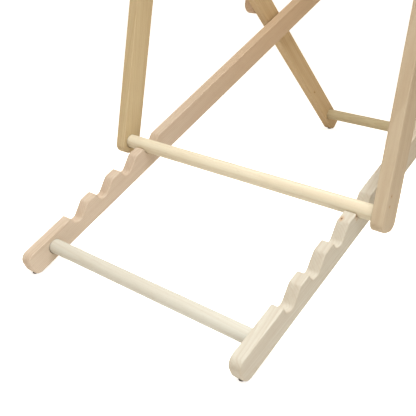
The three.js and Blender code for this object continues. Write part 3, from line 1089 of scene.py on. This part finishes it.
def moulded_plastic(name, colour, scuffed, roughness):
    material, recipe, shader, place = start_material(name)
    edge = attribute(recipe, "worn")
    worn = place_group(recipe, "Wear", Place=place, Edge=edge, Patch_Size=0.003)["Mask"]
    used = place_group(recipe, "Handling", Place=place, Size=0.012)
    mottled = recipe.blend(recipe.sum("MULTIPLY", used["Blotches"], 0.3), colour, scuffed)
    rubbed = recipe.blend(recipe.sum("MULTIPLY", worn, 0.6), mottled, scuffed)
    recipe.feed(shader.inputs["Base Color"], rubbed)
    speckle = recipe.noise(place, MOULD_SCALE, 2.0)["Fac"]
    rough = recipe.sum("MULTIPLY_ADD", worn, 0.2, roughness, clamp=True)
    recipe.feed(shader.inputs["Roughness"], rough)
    height = recipe.sum("MULTIPLY_ADD", used["Dents"], -1.0, speckle)
    bump(recipe, shader, height, PLASTIC_RELIEF)
    return material


zinc = plated_steel("zinc_plated_steel", (0.62, 0.62, 0.60, 1), (0.48, 0.48, 0.47, 1), 0.26)
cast = plated_steel("cast_insert_metal", (0.30, 0.30, 0.31, 1), (0.22, 0.22, 0.23, 1), 0.42)
nylon = moulded_plastic("nylon", (0.78, 0.76, 0.70, 1), (0.66, 0.63, 0.56, 1), 0.42)
dark = moulded_plastic("glide_plastic", (0.07, 0.065, 0.065, 1), (0.20, 0.19, 0.18, 1), 0.5)
print("finishes for the small pieces:", ", ".join(m.name for m in (zinc, cast, nylon, dark)))

# %% [markdown]
# Which finish a small piece gets follows from its name. The threaded inserts keep their plain
# shapes from the frame, since all but their rims are buried in the wood, and only change finish.

# %% Give the small pieces their finishes
FINISHES = {
    "bolt": ("bolt_steel", zinc),
    "washer": ("washer", nylon),
    "spacer": ("washer", nylon),
    "glide": ("glide", dark),
}
for node, piece in small_pieces.items():
    kind = next(k for k in FINISHES if k in node)
    slot_name, finish = FINISHES[kind]
    piece.data.materials.append(finish)
    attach(piece, body_of[node])
    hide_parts(node)
for node, part in frame["nodes"].items():
    if "insert" in node:
        for spot in part.material_slots:
            spot.material = cast
print(len(small_pieces), "small pieces finished")

# %% [markdown]
# The studio is a plain, almost white floor that runs out of sight under a white sky, so that
# floor and background meet without a line. The floor glows a little for the camera alone, which
# takes it to white without lighting the wood from below.

# %% Floor
FLOOR_REACH = 30.0
FLOOR_GLOW = 0.75
floor_bm = bmesh.new()
bmesh.ops.create_grid(floor_bm, x_segments=8, y_segments=8, size=FLOOR_REACH)
floor_mesh = bpy.data.meshes.new("floor")
floor_bm.to_mesh(floor_mesh)
floor_bm.free()
floor = bpy.data.objects.new("floor", floor_mesh)
bpy.context.scene.collection.objects.link(floor)
floor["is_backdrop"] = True
material, recipe, shader, _ = start_material("floor_paint")
shader.inputs["Base Color"].default_value = (0.93, 0.925, 0.915, 1)
shader.inputs["Roughness"].default_value = 0.85
shader.inputs["Specular IOR Level"].default_value = 0.1
seen = recipe.node("LightPath").outputs["Is Camera Ray"]
recipe.feed(shader.inputs["Emission Color"], recipe.blend(seen, (0, 0, 0, 1), (1, 1, 1, 1)))
shader.inputs["Emission Strength"].default_value = FLOOR_GLOW
floor_mesh.materials.append(material)
print("floor", 2 * FLOOR_REACH, "m wide")

# %% [markdown]
# The sky that lights the wood is warm and brighter overhead, so the sides of the rails stay a
# shade darker than their tops. The camera sees plain white instead. One soft disc of light
# hangs over the rear end of the chair. Its spread is narrow, as behind a honeycomb grid, so its
# light falls off towards the front, and the rails with it.

# %% Sky and light
LOW_SKY = (0.41, 0.325, 0.24, 1)
HIGH_SKY = (0.60, 0.50, 0.375, 1)
LIGHT_PLACE = Vector((-0.40, 0.60, 2.0))
LIGHT_TARGET = Vector((-0.2, 0.56, 0))

world = bpy.data.worlds.new("studio_sky")
world.use_nodes = True
bpy.context.scene.world = world
sky = Recipe(world.node_tree)
height = sky.node("SeparateXYZ", {}, Vector=sky.node("TexCoord").outputs["Generated"]).outputs["Z"]
dome = sky.blend(sky.ramp(height, -0.1, 0.9), LOW_SKY, HIGH_SKY)
seen = sky.node("LightPath").outputs["Is Camera Ray"]
background = world.node_tree.nodes["Background"]
sky.feed(background.inputs["Color"], sky.blend(seen, dome, (1, 1, 1, 1)))
background.inputs["Strength"].default_value = 1.0

lamp = bpy.data.lights.new("key", "AREA")
lamp.shape = "DISK"
lamp.size = 1.3
lamp.energy = 9.3
lamp.color = (0.96, 1.0, 1.04)
lamp.spread = math.radians(75)
key = bpy.data.objects.new("key", lamp)
key.location = LIGHT_PLACE
key.rotation_mode = "QUATERNION"
key.rotation_quaternion = (LIGHT_TARGET - LIGHT_PLACE).to_track_quat("-Z", "Y")
bpy.context.scene.collection.objects.link(key)
print("studio ready")

# %% [markdown]
# The camera stands behind the chair on its right, at about the height of the armrests, and looks
# down on the notched rails. Only the rear half of the chair is in view. The lens is a mild
# telephoto, and a small shift moves the chair within the picture without turning the camera.

# %% Camera
camera_data = bpy.data.cameras.new("camera")
camera_data.lens = 60.84
camera_data.sensor_width = 36.0
camera_data.shift_x = -0.0424
camera_data.shift_y = 0.0257
camera = bpy.data.objects.new("camera", camera_data)
camera.location = (-0.6978, 1.0944, 0.5962)
camera.rotation_euler = [math.radians(a) for a in (64.3148, 0.8564, -139.8417)]
scene = bpy.context.scene
scene.collection.objects.link(camera)
scene.camera = camera
scene.view_settings.view_transform = "Standard"
scene.view_settings.look = "None"
print("camera at", tuple(round(v, 3) for v in camera.location))

# %% [markdown]
# Last, the finished model is measured and its box is printed. A finish adds no size, but a piece
# that stands at an angle is measured by the corners of its own box, and they reach a little past
# the piece itself.

# %% Measure and finish
low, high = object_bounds()
print("model", [round(v, 4) for v in (*low, *high)])
